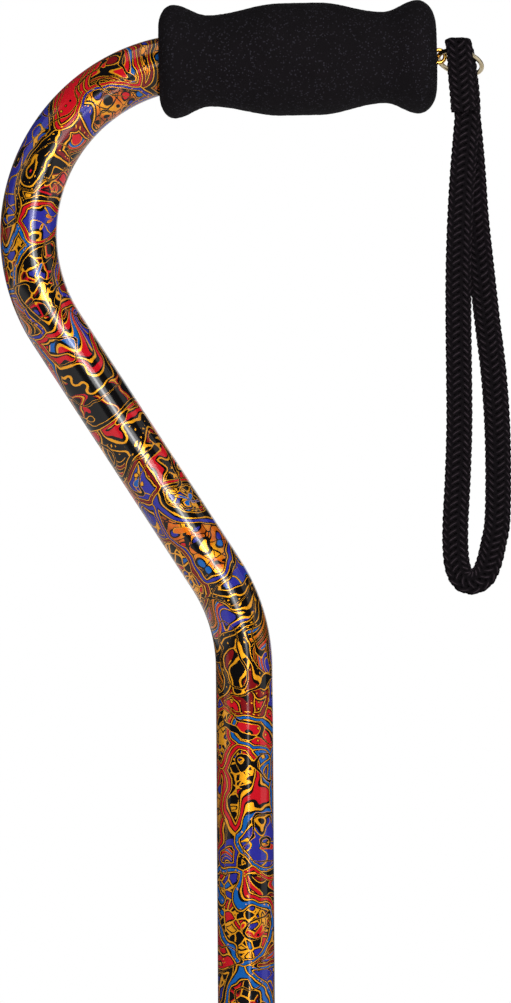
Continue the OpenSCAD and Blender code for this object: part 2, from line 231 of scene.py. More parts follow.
def batik():
    """Printed pattern under a clear coat.

    Two UV maps hold the place on the straightened tube, in millimetres: length and the two
    coordinates of the circle. Scales below are per millimetre, and limits are in millimetres.
    """
    g = Graph("batik_tube")
    along = g.node("ShaderNodeSeparateXYZ", {0: g.node("ShaderNodeUVMap", uv_map="run").outputs[0]})
    around = g.node("ShaderNodeSeparateXYZ", {0: g.node("ShaderNodeUVMap", uv_map="turn").outputs[0]})
    place = g.node(
        "ShaderNodeCombineXYZ", {0: along.outputs[0], 1: along.outputs[1], 2: around.outputs[0]}
    ).outputs[0]
    place = g.vector("SCALE", place, scale=0.8)

    def wander(scale, size, detail=0.0):
        """Smooth random offset, about size millimetres long, that changes over 1 / scale."""
        noise = g.noise(place, scale, detail, out="Color")
        return g.vector("SCALE", g.vector("SUBTRACT", noise, (0.5, 0.5, 0.5)), scale=size)

    drift = g.vector("ADD", place, wander(0.036, 46.0, 1.0))
    p = g.vector("ADD", drift, wander(0.26, 2.2))
    crisp = g.vector("ADD", place, wander(0.22, 2.4))

    def palette(value, colours):
        step = 1 / len(colours)
        return g.ramp(value, [(i * step, c) for i, c in enumerate(colours)], "CONSTANT")

    def cells(where, scale, randomness=1.0):
        """Random channels, distance from the centre and from the edge of Voronoi cells, in mm."""
        near = g.voronoi(where, scale, "F1", randomness)
        edge = g.voronoi(where, scale, "DISTANCE_TO_EDGE", randomness)["Distance"]
        picks = g.node("ShaderNodeSeparateColor", {0: near["Color"]}).outputs
        return picks, g.math("DIVIDE", near["Distance"], scale), g.math("DIVIDE", edge, scale)

    def stack(base, distance, rings):
        """Paints nested outlines: each (limit, colour) covers what is nearer than its limit."""
        for limit, colour in rings:
            paint_in = colour if isinstance(colour, bpy.types.NodeSocket) else rgba(colour)
            base = g.mix(g.below(distance, limit), base, paint_in)
        return base

    # honeycomb: small rounded cells with thin gold outlines on black
    pick, _, edge = cells(crisp, 0.34)
    honey = palette(pick[0], [INK, RED, ROYAL, RED, INK, ROYAL, AZURE, RED, INK, GOLD])
    honey = stack(honey, edge, [(0.48, INK), (0.19, GOLD)])

    # net: larger cells, mostly black, with outlines of gold, red or crimson
    pick, _, edge = cells(crisp, 0.23)
    net = palette(pick[1], [INK, ROYAL, RED, INK, CRIMSON, INK])
    outline = palette(pick[0], [GOLD, RED, GOLD, GOLD, CRIMSON])
    net = stack(net, edge, [(0.8, INK), (0.30, outline)])

    # blobs: amber ground with blue and red pools outlined in black
    pick, far, edge = cells(crisp, 0.25)
    airbrush = g.ramp(g.noise(place, 0.16, 1.0), [(0.34, BROWN), (0.46, AMBER), (0.58, GOLD)])
    middles = palette(pick[1], [ROYAL, RED, AZURE, ROYAL, INK])
    blobs = stack(airbrush, far, [(1.75, INK), (1.25, middles)])
    blobs = stack(blobs, edge, [(0.16, INK)])

    # feathers: long flowing stripes, which follow the contours of a slow noise
    flow = g.math("MULTIPLY", g.noise(drift, 0.055, 0.0), 25.0)
    stripe = g.math("FRACT", flow)
    index = g.math("FRACT", g.math("MULTIPLY", g.math("FLOOR", flow), 0.382))
    feathers = palette(index, [RED, INK, ROYAL, INK, AZURE, CRIMSON, ROYAL, AMBER, RED, INK])
    feathers = stack(feathers, stripe, [(0.36, INK), (0.16, GOLD)])

    # pool and night: plain blue and plain black, each with a loose gold curl
    curl = g.math("ABSOLUTE", g.math("SUBTRACT", g.noise(crisp, 0.17, 0.0), 0.5))
    pool = stack(rgba(ROYAL), curl, [(0.040, AZURE), (0.032, INK), (0.016, GOLD)])
    night = stack(rgba(INK), curl, [(0.045, RED), (0.028, INK), (0.015, GOLD)])

    # shawl: red with rows of gold dots
    _, far, _ = cells(place, 0.50, 0.25)
    shawl = stack(rgba(RED), far, [(0.55, INK), (0.36, GOLD)])

    # large patches, each filled in one of these ways
    patch_scale = 0.054
    picks, far, edge = cells(p, patch_scale)
    kind, tint, second = picks[0], picks[1], picks[2]
    fill = honey
    kinds = [(0.20, feathers), (0.46, net), (0.56, blobs), (0.67, pool), (0.83, night), (0.90, shawl)]
    for limit, layer in kinds:
        fill = g.mix(g.math("GREATER_THAN", kind, limit), fill, layer)

    # a flower in the middle of some patches
    from_middle = g.vector("SUBTRACT", p, g.voronoi(p, patch_scale)["Position"])
    parts = g.node("ShaderNodeSeparateXYZ", {0: from_middle}).outputs
    angle = g.math("ARCTAN2", parts[0], g.math("ADD", parts[1], parts[2]))
    wave = g.math("ABSOLUTE", g.math("COSINE", g.math("MULTIPLY", angle, 2.5)))
    petal = g.math("SUBTRACT", far, g.math("ADD", 1.5, g.math("MULTIPLY", wave, 2.3)))
    petal = g.math("ADD", petal, g.math("MULTIPLY", g.math("GREATER_THAN", second, 0.55), 20.0))
    flower = palette(tint, [RED, AMBER, RED, AZURE])
    fill = stack(fill, petal, [(0.75, INK), (0.42, GOLD), (0.08, flower)])
    fill = g.mix(g.math("MULTIPLY", g.below(far, 1.0), g.below(petal, 0.0)), fill, rgba(INK))

    # border of a patch: gold and black lines beside a band of colour, with dots in some
    band = palette(tint, [RED, INK, ROYAL, RED, INK, AZURE, CRIMSON, INK])
    dot_scale = 0.60
    dots = g.math("DIVIDE", g.voronoi(p, dot_scale, "F1", 0.4)["Distance"], dot_scale)
    dotted = g.math("MULTIPLY", g.below(dots, 0.38), g.math("GREATER_THAN", second, 0.4))
    band = g.mix(dotted, band, rgba(GOLD))
    border = [(2.65, INK), (2.2, GOLD), (1.9, INK), (1.55, band), (0.6, INK), (0.2, GOLD)]
    colour = stack(fill, edge, border)

    # a second, coarser set of wandering black strokes ties the patches together
    stroke = g.math("ABSOLUTE", g.math("SUBTRACT", g.noise(p, 0.075, 0.0), 0.47))
    colour = stack(colour, stroke, [(0.0165, GOLD), (0.0125, INK)])

    # the ink's density varies a little, and the gold and amber are partly metallic
    mottle = g.noise(place, 1.1, 3.0, 0.6)
    split = g.node("ShaderNodeSeparateColor", {0: colour}).outputs
    golden = g.math("MULTIPLY", g.math("SUBTRACT", split[1], split[2]), 4.0, clamp=True)
    colour = g.mix(g.math("MULTIPLY", mottle, 0.2), colour, rgba(INK))
    scuffs = g.noise(g.vector("MULTIPLY", place, (0.2, 1.0, 1.0)), 2.0, 5.0, 0.75)
    return g.set(
        Base_Color=colour,
        Metallic=g.math("MULTIPLY", golden, 0.60),
        Roughness=g.math("ADD", 0.38, g.math("MULTIPLY", scuffs, 0.08)),
        Specular_IOR_Level=0.0,
        Coat_Weight=1.0,
        Coat_Roughness=0.14,
        Coat_IOR=1.42,
    )


def foam():
    """Black closed-cell foam with sparse paler flecks and fine pores."""
    g = Graph("foam")
    p = g.coords()
    speck = g.voronoi(p, 2200.0)["Color"]
    fleck = g.math("GREATER_THAN", g.node("ShaderNodeSeparateColor", {0: speck}).outputs[0], 0.93)
    cloud = g.noise(p, 90.0, 3.0)
    tone = g.mix(cloud, rgba(srgb(15, 13, 15)), rgba(srgb(22, 19, 22)))
    tone = g.mix(g.math("MULTIPLY", fleck, 0.5), tone, rgba(srgb(56, 54, 62)))
    pores = g.noise(p, 2600.0, 3.0, 0.7)
    return g.set(
        Base_Color=tone,
        Roughness=0.92,
        Specular_IOR_Level=0.06,
        Normal=g.bump(pores, 0.3 * MM, 0.8),
    )


def braid_yarn():
    """Black yarn. One UV map holds the place on the yarn, the other how far the yarn is on top."""
    g = Graph("braid_yarn")
    p = g.coords()
    fibre = g.node("ShaderNodeUVMap", uv_map="yarn").outputs[0]
    lift_map = g.node("ShaderNodeUVMap", uv_map="float").outputs[0]
    rise = g.node("ShaderNodeSeparateXYZ", {0: lift_map})
    strands = g.noise(g.vector("MULTIPLY", fibre, (3.0, 0.35, 1.0)), 1.6, 2.0, 0.6)
    tone = g.mix(strands, rgba(srgb(12, 10, 12)), rgba(srgb(22, 18, 21)))
    # a thin line along the crowns of the yarns that lie on top, on their outer side, is painted lighter:
    # a painted highlight, partly wear
    across = g.math("ABSOLUTE", g.node("ShaderNodeSeparateXYZ", {0: fibre}).outputs[0])
    lit_crown = g.math("SUBTRACT", 1.0, g.math("MULTIPLY", across, 3.2), clamp=True)
    lit_crown = g.math("MULTIPLY", lit_crown, g.math("GREATER_THAN", rise.outputs[1], 0.3))
    lit_crown = g.math("MULTIPLY", lit_crown, g.math("SUBTRACT", rise.outputs[0], 0.55, clamp=True))
    sheen_and_wear = g.math("MULTIPLY", lit_crown, g.math("MULTIPLY", g.noise(p, 900.0, 3.0, 0.7), 2.6), clamp=True)
    tone = g.mix(sheen_and_wear, tone, rgba(srgb(68, 58, 64)))
    return g.set(
        Base_Color=tone,
        Roughness=0.75,
        Specular_IOR_Level=0.02,
        Normal=g.bump(strands, 0.06 * MM, 0.9),
    )


def painted_shade_core():
    """Painted shade inside the braid: a fill darker than the yarn, hardly seen between the yarns."""
    g = Graph("braid_shade_core")
    p = g.coords()
    fibre = g.noise(g.vector("MULTIPLY", p, (1.0, 1.0, 0.15)), 2200.0, 2.0, 0.6)
    return g.set(
        Base_Color=g.mix(fibre, rgba(srgb(8, 7, 8)), rgba(srgb(14, 12, 14))),
        Roughness=0.9,
        Specular_IOR_Level=0.02,
        Normal=g.bump(fibre, 0.05 * MM, 0.8),
    )


def brass():
    """Yellow brass of the screw eye, a little tarnished."""
    g = Graph("brass")
    p = g.coords()
    tarnish = g.noise(p, 700.0, 4.0, 0.6)
    tone = g.mix(tarnish, rgba(srgb(236, 190, 92)), rgba(srgb(196, 140, 54)))
    return g.set(
        Base_Color=tone,
        Metallic=1.0,
        Roughness=g.math("ADD", 0.14, g.math("MULTIPLY", tarnish, 0.14)),
        Normal=g.bump(g.noise(p, 2400.0), 0.02 * MM, 0.4),
    )


def pale_brass():
    """Paler, worn plating of the ring."""
    g = Graph("pale_brass")
    p = g.coords()
    tarnish = g.noise(p, 500.0, 4.0, 0.6)
    tone = g.mix(tarnish, rgba(srgb(226, 214, 186)), rgba(srgb(176, 152, 104)))
    return g.set(
        Base_Color=tone,
        Metallic=1.0,
        Roughness=g.math("ADD", 0.16, g.math("MULTIPLY", tarnish, 0.14)),
        Normal=g.bump(g.noise(p, 2400.0), 0.02 * MM, 0.4),
    )


def powder_coat(name, tone, grain=900.0):
    """Satin black coating with orange peel and small rubbed places."""
    g = Graph(name)
    p = g.coords()
    orange_peel = g.noise(p, grain, 3.0, 0.55)
    cloud = g.noise(p, 24.0, 3.0)
    wear = g.math("MULTIPLY", g.math("GREATER_THAN", g.noise(p, 260.0, 5.0, 0.7), 0.71), 0.35)
    colour = g.mix(cloud, rgba(tone), rgba(tuple(c * 1.5 + 0.002 for c in tone)))
    colour = g.mix(wear, colour, rgba(srgb(70, 70, 74)))
    return g.set(
        Base_Color=colour,
        Roughness=g.math("ADD", 0.36, g.math("MULTIPLY", cloud, 0.14)),
        Specular_IOR_Level=0.5,
        Normal=g.bump(orange_peel, 0.12 * MM, 0.35),
    )


def moulded(name, tone, roughness, lift=1.35):
    """Moulded plastic with a fine texture; lift is how much its paler places differ."""
    g = Graph(name)
    p = g.coords()
    texture = g.noise(p, 1400.0, 2.0, 0.6)
    cloud = g.noise(p, 40.0, 2.0)
    colour = g.mix(cloud, rgba(tone), rgba(tuple(c * lift for c in tone)))
    return g.set(
        Base_Color=colour,
        Roughness=g.math("ADD", roughness, g.math("MULTIPLY", cloud, 0.08)),
        Normal=g.bump(texture, 0.1 * MM, 0.3),
    )


def rubber():
    """Black rubber, dusty towards the sole."""
    g = Graph("tip_rubber")
    p = g.coords()
    height = g.node("ShaderNodeSeparateXYZ", {0: p}).outputs[2]
    cloud = g.noise(p, 55.0, 4.0, 0.6)
    near_sole = g.math("SUBTRACT", 1.0, g.math("MULTIPLY", height, 60.0), clamp=True)
    dust = g.math("MULTIPLY", g.noise(p, 160.0, 5.0, 0.7), near_sole)
    colour = g.mix(cloud, rgba(srgb(24, 24, 25)), rgba(srgb(36, 35, 35)))
    colour = g.mix(g.math("MULTIPLY", dust, 0.55, clamp=True), colour, rgba(srgb(112, 105, 96)))
    return g.set(
        Base_Color=colour,
        Roughness=g.math("ADD", 0.62, g.math("MULTIPLY", cloud, 0.2)),
        Specular_IOR_Level=0.3,
        Normal=g.bump(g.noise(p, 1900.0, 2.0), 0.12 * MM, 0.35),
    )


def anodised():
    """Satin aluminium with drawing lines along the tube."""
    g = Graph("anodised_tube")
    p = g.coords()
    drawn = g.noise(g.vector("MULTIPLY", p, (1.0, 1.0, 0.01)), 5200.0, 3.0, 0.6)
    cloud = g.noise(p, 30.0, 2.0)
    tone = g.mix(drawn, rgba(srgb(178, 178, 182)), rgba(srgb(206, 206, 210)))
    return g.set(
        Base_Color=tone,
        Metallic=1.0,
        Roughness=g.math("ADD", 0.26, g.math("MULTIPLY", cloud, 0.12)),
        Anisotropic=0.4,
        Normal=g.bump(drawn, 0.01 * MM, 0.5),
    )


def plated(name, tone, roughness):
    """Plated steel, clouded a little."""
    g = Graph(name)
    p = g.coords()
    cloud = g.noise(p, 350.0, 4.0, 0.6)
    colour = g.mix(cloud, rgba(tone), rgba(tuple(c * 0.75 for c in tone)))
    return g.set(
        Base_Color=colour,
        Metallic=1.0,
        Roughness=g.math("ADD", roughness, g.math("MULTIPLY", cloud, 0.18)),
        Normal=g.bump(g.noise(p, 3000.0), 0.02 * MM, 0.4),
    )


def paint(obj, material):
    obj.data.materials.clear()
    obj.data.materials.append(material)
    return obj


# ---------------------------------------------------------------- the bent tube

SLANT = (REACH - 2 * BEND_R * (1 - math.cos(SLOPE))) / math.sin(SLOPE)
OVER_TURN = SLOPE + math.pi / 2 - GRIP_RISE
BOW_X = BEND_R - REACH
BOW_Z = NECK_Z + 2 * BEND_R * math.sin(SLOPE) + SLANT * math.cos(SLOPE)
GRIP_X = BOW_X - BEND_R * math.sin(GRIP_RISE)
GRIP_Z = BOW_Z + BEND_R * math.cos(GRIP_RISE)
TUBE_SHORT_OF_GRIP = 4 * MM
GRIP_RUN = (GRIP_END_X - TUBE_SHORT_OF_GRIP - GRIP_X) / math.cos(GRIP_RISE)

# Mesh of the tube: length of a step on its runs and in its bends, and number of sides
STEP_RUN = 4 * MM
STEP_BEND = 1.6 * MM
TUBE_SIDES = 96

# Height holes: length and sides of the cutter, and what counts as a sliver at their rims
CUTTER_LEN = 30 * MM
HOLE_SIDES = 48
SLIVER = 0.004 * MM


def tube_stations():
    """(length, centre, heading) along the tube, from its lower end up.

    The heading is the angle from vertical, positive towards +X.
    """
    place = Vector((0, SHAFT_Y, TUBE_END_Z))
    heading = 0.0
    length = 0.0
    # the length and the turn of each straight run and each bend
    legs = [
        (NECK_Z - TUBE_END_Z, 0.0),
        (BEND_R * SLOPE, -SLOPE),
        (SLANT, 0.0),
        (BEND_R * OVER_TURN, OVER_TURN),
        (GRIP_RUN, 0.0),
    ]
    stations = [(length, place.copy(), heading)]
    for size, turn in legs:
        count = max(1, round(size / (STEP_BEND if turn else STEP_RUN)))
        for _ in range(count):
            middle = heading + turn / count / 2
            chord = size / count
            if turn:
                chord = 2 * BEND_R * math.sin(abs(turn) / count / 2)
            place = place + Vector((math.sin(middle), 0, math.cos(middle))) * chord
            heading += turn / count
            length += size / count
            stations.append((length, place.copy(), heading))
    return stations


def tube_skin():
    """The patterned tube as one smooth shell with its row of height holes."""
    sides = TUBE_SIDES
    stations = tube_stations()
    verts, places = [], []
    for radius in (TUBE_R, TUBE_R - TUBE_WALL):
        for length, centre, heading in stations:
            side = Vector((math.cos(heading), 0, -math.sin(heading)))
            for k in range(sides):
                a = 2 * math.pi * (k + 0.5) / sides
                out = side * math.cos(a) + Vector((0, 1, 0)) * math.sin(a)
                verts.append(centre + out * radius)
                places.append((length / MM, radius * math.cos(a) / MM, radius * math.sin(a) / MM))
    rows = len(stations)
    outer = grid_faces(rows, sides)
    inner = [f[::-1] for f in grid_faces(rows, sides, first=rows * sides)]
    rims = []
    for row, flip in ((0, True), (rows - 1, False)):
        for k in range(sides):
            a, b = row * sides + k, row * sides + (k + 1) % sides
            face = (a, b, b + rows * sides, a + rows * sides)
            rims.append(face[::-1] if flip else face)
    obj = new_object("patterned_tube", verts, [f[::-1] for f in outer + inner + rims])
    mesh = obj.data
    run = mesh.uv_layers.new(name="run")
    turn = mesh.uv_layers.new(name="turn")
    for loop in mesh.loops:
        s, x, y = places[loop.vertex_index]
        run.data[loop.index].uv = (s, x)
        turn.data[loop.index].uv = (y, 0.0)
    return drill(obj)


def drill(obj):
    """Cuts the row of height holes through both walls."""
    cutter_mesh = bmesh.new()
    for i in range(HOLE_COUNT):
        z = BUTTON_Z + (i - (HOLE_COUNT - 1) / 2) * HOLE_PITCH
        place = Matrix.Translation((0, SHAFT_Y, z)) @ Matrix.Rotation(math.pi / 2, 4, "X")
        bmesh.ops.create_cone(
            cutter_mesh,
            cap_ends=True,
            segments=HOLE_SIDES,
            radius1=HOLE_R,
            radius2=HOLE_R,
            depth=CUTTER_LEN,
            matrix=place,
        )
    mesh = bpy.data.meshes.new("hole_cutter")
    cutter_mesh.to_mesh(mesh)
    cutter_mesh.free()
    cutter = bpy.data.objects.new("hole_cutter", mesh)
    bpy.context.scene.collection.objects.link(cutter)
    cut = obj.modifiers.new("holes", "BOOLEAN")
    cut.operation = "DIFFERENCE"
    cut.object = cutter
    cut.solver = "EXACT"
    bpy.context.view_layer.update()
    result = obj.evaluated_get(bpy.context.evaluated_depsgraph_get())
    drilled = bpy.data.meshes.new_from_object(result)
    obj.modifiers.clear()
    bpy.data.objects.remove(cutter)
    # the cut leaves slivers at the rims of the holes
    clean = bmesh.new()
    clean.from_mesh(drilled)
    bmesh.ops.remove_doubles(clean, verts=clean.verts, dist=SLIVER)
    bmesh.ops.dissolve_degenerate(clean, edges=clean.edges, dist=SLIVER)
    clean.to_mesh(drilled)
    clean.free()
    obj.data = drilled
    obj.data.shade_smooth()
    obj.data.set_sharp_from_angle(angle=math.radians(40))
    return obj


# ---------------------------------------------------------------- grip

# Its outline: distance from the closed end, and radius, at each crest and hollow
GRIP_KEYS = [
    (5.8 * MM, FLARE_R), (19.5 * MM, NECK_R), (47.8 * MM, BELLY_R), (61.9 * MM, BELLY_R),
    (87.5 * MM, NECK_R), (100.8 * MM, FLARE_R),
]
# Radius of the flat face at the closed end and at the open one
GRIP_FACE_R = (13.6 * MM, 12 * MM)
# The bore lies inside the tube's wall; the open end has a shallow recess with a rounded rim
GRIP_BORE_R = 10.6 * MM
BORE_LEAD = [(6, 10.6), (3, 11), (0.8, 11.2), (0.15, 11.6), (0, 12.2), (0, 13)]
OPEN_FACE_RADII = [10, 8, 6.5, 5.6, 5.0]
RECESS = [(0.2, 4.75), (0.7, 4.6), (2, 4.6), (4.3, 4.6)]
GRIP_STEP = 0.6 * MM
GRIP_SIDES = 220
GRIP_PLACE = (
    Matrix.Translation((GRIP_END_X, SHAFT_Y, GRIP_Z + (GRIP_END_X - GRIP_X) * math.tan(GRIP_RISE)))
    @ Matrix.Rotation(-GRIP_RISE, 4, "Y")
    @ Matrix.Translation((-GRIP_LEN, 0, 0))
)


def ease(t):
    """Smooth rise from 0 to 1."""
    return (1 - math.cos(math.pi * t)) / 2


def rounded_end(angle, depth, face_r):
    """Depth and radius on the quarter round between a face and the flare, at an angle from the face."""
    return depth * (1 - math.cos(angle)), face_r + (FLARE_R - face_r) * math.sin(angle)


def grip_profile():
    """(distance, radius) pairs in a loop.

    It runs out of the bore at the closed end, over the outside, into the open end's recess and
    back through the bore.
    """
    first, last = GRIP_KEYS[0][0], GRIP_KEYS[-1][0]
    points = [(x * MM, r * MM) for x, r in BORE_LEAD]
    for a in np.radians(np.arange(0, 91, 5)):
        points.append(rounded_end(a, first, GRIP_FACE_R[0]))
    for (xa, ra), (xb, rb) in zip(GRIP_KEYS, GRIP_KEYS[1:]):
        count = round((xb - xa) / GRIP_STEP)
        for i in range(1, count + 1):
            t = i / count
            points.append((xa + (xb - xa) * t, ra + (rb - ra) * ease(t)))
    for a in np.radians(np.arange(85, -1, -5)):
        depth, radius = rounded_end(a, GRIP_LEN - last, GRIP_FACE_R[1])
        points.append((GRIP_LEN - depth, radius))
    points += [(GRIP_LEN, r * MM) for r in OPEN_FACE_RADII]
    points += [(GRIP_LEN - d * MM, r * MM) for d, r in RECESS]
    points.append((GRIP_LEN - RECESS[-1][0] * MM, GRIP_BORE_R))
    return points


def foam_grip():
    """The grip as a contoured solid with the skin of cut foam."""
    verts, faces = lathe(grip_profile(), GRIP_SIDES, GRIP_PLACE)
    obj = new_object("foam_handgrip", verts, faces)
    # shallow unevenness in the mesh itself
    texture = bpy.data.textures.new("foam_skin", "CLOUDS")
    texture.noise_scale = 1.1 * MM
    texture.noise_depth = 1
    relief = obj.modifiers.new("foam_skin", "DISPLACE")
    relief.texture = texture
    relief.texture_coords = "LOCAL"
    relief.strength = 0.28 * MM
    relief.mid_level = 0.75
    return obj


# ---------------------------------------------------------------- strap

# The ring hangs in the eye, dipped from the grip's axis and tilted. The strap is folded over it, and
# its fold lies RING_BOW inside the ring's radius.
EYE_X = 77.2 * MM
EYE_Z = GRIP_Z + (EYE_X - GRIP_X) * math.tan(GRIP_RISE)
RING_R = 8.65 * MM
RING_BOW = 0.8 * MM
RING_DIP = math.radians(16)
RING_TILT = math.radians(25)
STRAP_ORIGIN = Vector((
    0,
    SHAFT_Y - (RING_R - RING_BOW) * math.cos(RING_TILT),
    EYE_Z - RING_R * math.sin(RING_DIP) + RING_R * math.sin(RING_TILT) * math.cos(RING_DIP),
))

# The CAD strap's route: x, y and z in millimetres from STRAP_ORIGIN, and the turn of its width in
# degrees
STRAP_ROUTE = [
    (86.5, -4.2, -23, 0), (86, -4.3, -16, 0), (85.4, -4.3, -9, 0), (85.1, -4.2, -3, 0),
    (84.7, -3.6, 2.2, 0), (84.5, -2.2, 3.7, 0), (84.5, 0, 4.2, 0), (84.6, 2.2, 3.7, 0),
    (85.1, 3.6, 2.2, 0), (86.5, 4, -3, 0), (87.1, 2.7, -9, 0), (87.8, 1, -16, 0),
    (88, 0, -24, 2), (87.2, -0.4, -34, 2), (86.1, -1, -46, 2), (84.9, -1.6, -64, 2),
    (84.1, -2, -84, 0), (83.9, -2, -104, 0), (84, -2, -124, 0), (84, -2, -144, 0),
    (83.3, -1.8, -164, -1), (82.3, -1.4, -182, 0), (82.2, -1, -192, 4), (83, -0.5, -199.5, 20),
    (85.2, 0, -204.2, 50), (88.8, 0, -205.4, 90), (92.6, 0, -203.4, 130),
    (95.1, 0.5, -198.5, 154), (97, 1, -191, 164), (98.6, 1.4, -182, 171), (99.1, 1.8, -164, 180),
    (98.8, 2.2, -144, 183), (97.5, 2.3, -124, 186), (95.2, 2.4, -104, 186), (93.1, 2.6, -84, 186),
    (91.1, 2.8, -64, 185), (90, 3.6, -46, 185), (89.1, 4.4, -34, 184), (88.2, 5.2, -24, 183),
    (87.8, 6.4, -18, 181), (87.6, 7.2, -14, 180),
]


# Braid: step along its length, the yarns each way round and the length in which one goes round once
BRAID_STEP = 0.65 * MM
YARNS_EACH_WAY = 8
BRAID_PITCH = 22 * MM
YARN_W = 1.9 * MM
YARN_T = 0.62 * MM
YARN_LIFT = 0.26 * MM
YARN_SIDES = 8
BRAID_SQUARENESS = 0.8

# Core: how far inside the strap's surface, its sides, and one station for this many of the braid
CORE_INSET = 0.75 * MM
CORE_SIDES = 16
CORE_EVERY = 8


def unit(vectors):
    """Rows of a table of vectors, each made one long."""
    return vectors / np.linalg.norm(vectors, axis=1)[:, None]


def smooth_route():
    """Points, directions, width directions and lengths along the strap, evenly spaced on a curve."""
    knots = np.array([[x * MM, y * MM, z * MM, t] for x, y, z, t in STRAP_ROUTE])
    knots[:, :3] += np.array(STRAP_ORIGIN)
    padded = np.vstack([2 * knots[0] - knots[1], knots, 2 * knots[-1] - knots[-2]])
    dense = []
    for i in range(1, len(padded) - 2):
        a, b, c, d = padded[i - 1 : i + 3]
        for t in np.linspace(0, 1, 24, endpoint=False):
            dense.append(
                0.5
                * (
                    2 * b
                    + (c - a) * t
                    + (2 * a - 5 * b + 4 * c - d) * t**2
                    + (3 * b - 3 * c + d - a) * t**3
                )
            )
    dense.append(knots[-1])
    dense = np.array(dense)
    gaps = np.linalg.norm(np.diff(dense[:, :3], axis=0), axis=1)
    lengths = np.concatenate([[0], np.cumsum(gaps)])
    even = np.linspace(0, lengths[-1], round(lengths[-1] / BRAID_STEP) + 1)
    points = np.stack([np.interp(even, lengths, dense[:, k]) for k in range(4)], axis=1)
    centre = points[:, :3]
    heading = unit(np.gradient(centre, axis=0))
    turn = np.radians(points[:, 3])
    across = np.stack([np.cos(turn), np.zeros_like(turn), np.sin(turn)], axis=1)
    across = unit(across - (across * heading).sum(1)[:, None] * heading)
    return centre, heading, across, even


def flattened(values):
    """A circle's sine or cosine, squared off a little."""
    return np.sign(values) * np.abs(values) ** BRAID_SQUARENESS


def braid(route):
    """A flat tubular braid.

    Two sets of yarns wind round the strap in opposite directions, each over two and under two of
    the other, which makes the herringbone.
    """
    centre, heading, across, lengths = route
    thick = np.cross(heading, across)
    half_w = STRAP_W / 2 - YARN_T / 2 - YARN_LIFT
    half_t = STRAP_T / 2 - YARN_T / 2 - YARN_LIFT
    turns = np.linspace(0, 2 * math.pi, YARN_SIDES, endpoint=False)
    section = [(math.cos(a), math.sin(a)) for a in turns]
    verts, faces, uvs, floats = [], [], [], []
    for way in (1, -1):
        for k in range(YARNS_EACH_WAY):
            angle = way * (2 * math.pi * lengths / BRAID_PITCH) + 2 * math.pi * k / YARNS_EACH_WAY
            crossing = 2 * k + way * 2 * YARNS_EACH_WAY * lengths / BRAID_PITCH
            # 1 where the yarn lies on top, -1 where it goes under
            rise = way * np.clip(1.5 * np.cos(math.pi * (crossing - 0.5) / 2), -1, 1)
            lift = rise * YARN_LIFT
            wide = flattened(np.cos(angle))[:, None]
            deep = flattened(np.sin(angle))[:, None]
            normal = unit(across * wide * half_t + thick * deep * half_w)
            path = centre + across * wide * half_w + thick * deep * half_t
            path = path + normal * lift[:, None]
            ahead = unit(np.gradient(path, axis=0))
            side = unit(np.cross(ahead, normal))
            up = np.cross(side, ahead)
            first = len(verts)
            for i in range(len(path)):
                for c, s in section:
                    verts.append(path[i] + side[i] * (c * YARN_W / 2) + up[i] * (s * YARN_T / 2))
                    uvs.append((c, lengths[i] / MM))
                    floats.append((rise[i], s))
            last = len(verts) - YARN_SIDES
            faces += [f[::-1] for f in grid_faces(len(path), YARN_SIDES, first=first)]
            faces.append(tuple(range(first, first + YARN_SIDES)))
            faces.append(tuple(range(last, last + YARN_SIDES))[::-1])
    obj = new_object("braided_strap", verts, faces)
    loops = np.zeros(len(obj.data.loops), int)
    obj.data.loops.foreach_get("vertex_index", loops)
    for name, values in (("yarn", uvs), ("float", floats)):
        layer = obj.data.uv_layers.new(name=name)
        layer.data.foreach_set("uv", np.array(values)[loops].astype(np.float32).ravel())
    return obj


def strap_shade_core(route):
    """A dark sheet of painted shade inside the braid, which fills the gaps between its yarns."""
    centre, heading, across, _ = (part[::CORE_EVERY] for part in route)
    thick = np.cross(heading, across)
    half_w = STRAP_W / 2 - CORE_INSET
    half_t = STRAP_T / 2 - CORE_INSET
    verts = []
    for i in range(len(centre)):
        for k in range(CORE_SIDES):
            a = 2 * math.pi * k / CORE_SIDES
            verts.append(centre[i] + across[i] * half_w * math.cos(a) + thick[i] * half_t * math.sin(a))
    faces = grid_faces(len(centre), CORE_SIDES)
    faces.append(tuple(range(CORE_SIDES))[::-1])
    faces.append(tuple(range(len(verts) - CORE_SIDES, len(verts))))
    return new_object("strap_shade_core", verts, faces)


# ---------------------------------------------------------------- the button's spring

SPRING_W = 6 * MM
SPRING_T = 0.7 * MM
SPRING_FRONT = -5.85 * MM
SPRING_REAR = 7.4 * MM
SPRING_BEND_Z = BUTTON_Z - 34 * MM
SPRING_FRONT_LEN = 40 * MM
SPRING_REAR_LEN = 34 * MM
SPRING_ROUNDING = 0.15 * MM


